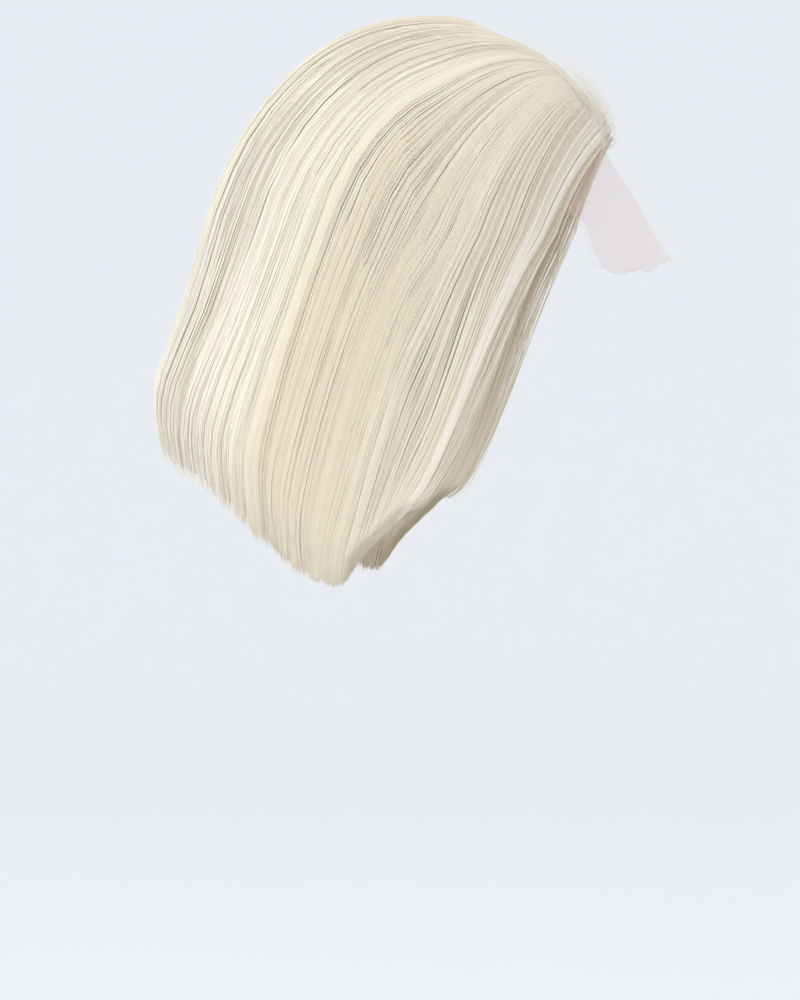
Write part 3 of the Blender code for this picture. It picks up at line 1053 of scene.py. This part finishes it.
def add_backdrop(settings):
    """Add a round pale floor that curves up on every side, so that no view shows where it ends."""
    material, tree, shader = new_material("seamless_paper")
    shader.inputs["Base Color"].default_value = (*settings.floor_colour, 1.0)
    shader.inputs["Roughness"].default_value = 0.9
    floor, bend, radius, height = -0.75, 2.0, 5.5, 3.2
    profile = [(0.3, floor), (1.5, floor), (radius - bend, floor)]
    for k in range(1, 16):
        turn = math.pi / 2 * k / 16
        reach = radius - bend + bend * math.sin(turn)
        profile.append((reach, floor + bend * (1 - math.cos(turn))))
    profile += [(radius, floor + bend), (radius, floor + height)]
    spokes = 72
    points = [(0.0, 0.0, floor)]
    for reach, level in profile:
        for k in range(spokes):
            turn = 2 * math.pi * k / spokes
            points.append((reach * math.cos(turn), reach * math.sin(turn), level))
    faces = [(0, 1 + k, 1 + (k + 1) % spokes) for k in range(spokes)]
    for row in range(len(profile) - 1):
        a, b = 1 + row * spokes, 1 + (row + 1) * spokes
        for k in range(spokes):
            n = (k + 1) % spokes
            faces.append((a + k, b + k, b + n, a + n))
    mesh = bpy.data.meshes.new("backdrop")
    mesh.from_pydata(points, [], faces)
    mesh.materials.append(material)
    mesh.shade_smooth()
    thing = bpy.data.objects.new("backdrop", mesh)
    bpy.context.scene.collection.objects.link(thing)


class WIG_OT_stage(bpy.types.Operator):
    """Build the pale floor, the soft lights and the camera"""

    bl_idname = "wig.stage"
    bl_label = "Stage"

    def execute(self, context):
        settings = context.scene.wig_stage
        azimuth, elevation = math.radians(-84.0), math.radians(2.0)
        view_side = Vector((
            math.sin(azimuth) * math.cos(elevation),
            -math.cos(azimuth) * math.cos(elevation),
            math.sin(elevation),
        ))
        middle = Vector((0.0, 0.020, -0.2486))
        pixels_per_metre = 1850.0
        frame_height = 1000
        camera_data = bpy.data.cameras.new("camera")
        camera_data.sensor_fit = "VERTICAL"
        camera_data.sensor_height = 36.0
        camera_data.lens = 36.0 * pixels_per_metre * settings.camera_distance / frame_height
        camera_data.clip_end = 50.0
        camera = bpy.data.objects.new("camera", camera_data)
        context.scene.collection.objects.link(camera)
        camera.location = middle + view_side * settings.camera_distance
        camera.rotation_euler = view_side.to_track_quat("Z", "Y").to_euler()
        context.scene.camera = camera
        add_backdrop(settings)
        focus = (0.0, 0.0, -0.12)
        white = (1.0, 0.985, 0.96)
        add_area_light("top_light", (-0.8, 0.9, 1.4), focus, 1.6, settings.key_power, white)
        add_area_light("rear_light", (-2.2, 2.9, 0.7), focus, 2.4, settings.rear_power, white)
        world = bpy.data.worlds.new("soft_room")
        world.use_nodes = True
        world.node_tree.nodes["Background"].inputs["Color"].default_value = (0.955, 0.97, 1.0, 1.0)
        world.node_tree.nodes["Background"].inputs["Strength"].default_value = 1.03
        context.scene.world = world
        context.scene.view_settings.view_transform = "Standard"
        return {"FINISHED"}


class WIG_PT_panel(bpy.types.Panel):
    """The wig's settings and the steps that build it"""

    bl_label = "Wig"
    bl_idname = "WIG_PT_panel"
    bl_space_type = "VIEW_3D"
    bl_region_type = "UI"
    bl_category = "Wig"

    def draw(self, context):
        for group in (context.scene.wig_hair, context.scene.wig_lace, context.scene.wig_stage):
            for name in group.__annotations__:
                self.layout.prop(group, name)
        for operator in OPERATORS:
            self.layout.operator(operator.bl_idname)


OPERATORS = (
    WIG_OT_stage,
    WIG_OT_cap,
    WIG_OT_lace_front,
    WIG_OT_hair_masses,
    WIG_OT_side_strands,
    WIG_OT_back_strands,
    WIG_OT_front_locks,
    WIG_OT_fine_hairs,
)
CLASSES = (HairSettings, LaceSettings, StageSettings, *OPERATORS, WIG_PT_panel)


def register():
    """Register the classes and hang the settings on the scene."""
    for cls in CLASSES:
        bpy.utils.register_class(cls)
    bpy.types.Scene.wig_hair = PointerProperty(type=HairSettings)
    bpy.types.Scene.wig_lace = PointerProperty(type=LaceSettings)
    bpy.types.Scene.wig_stage = PointerProperty(type=StageSettings)


def unregister():
    """Take the settings and the classes away again."""
    del bpy.types.Scene.wig_hair
    del bpy.types.Scene.wig_lace
    del bpy.types.Scene.wig_stage
    for cls in reversed(CLASSES):
        bpy.utils.unregister_class(cls)


def main():
    """Build every piece in order."""
    register()
    bpy.ops.wig.stage()
    bpy.ops.wig.cap()
    bpy.ops.wig.lace_front()
    bpy.ops.wig.hair_masses()
    bpy.ops.wig.side_strands()
    bpy.ops.wig.back_strands()
    bpy.ops.wig.front_locks()
    bpy.ops.wig.fine_hairs()


if __name__ == "__main__":
    main()
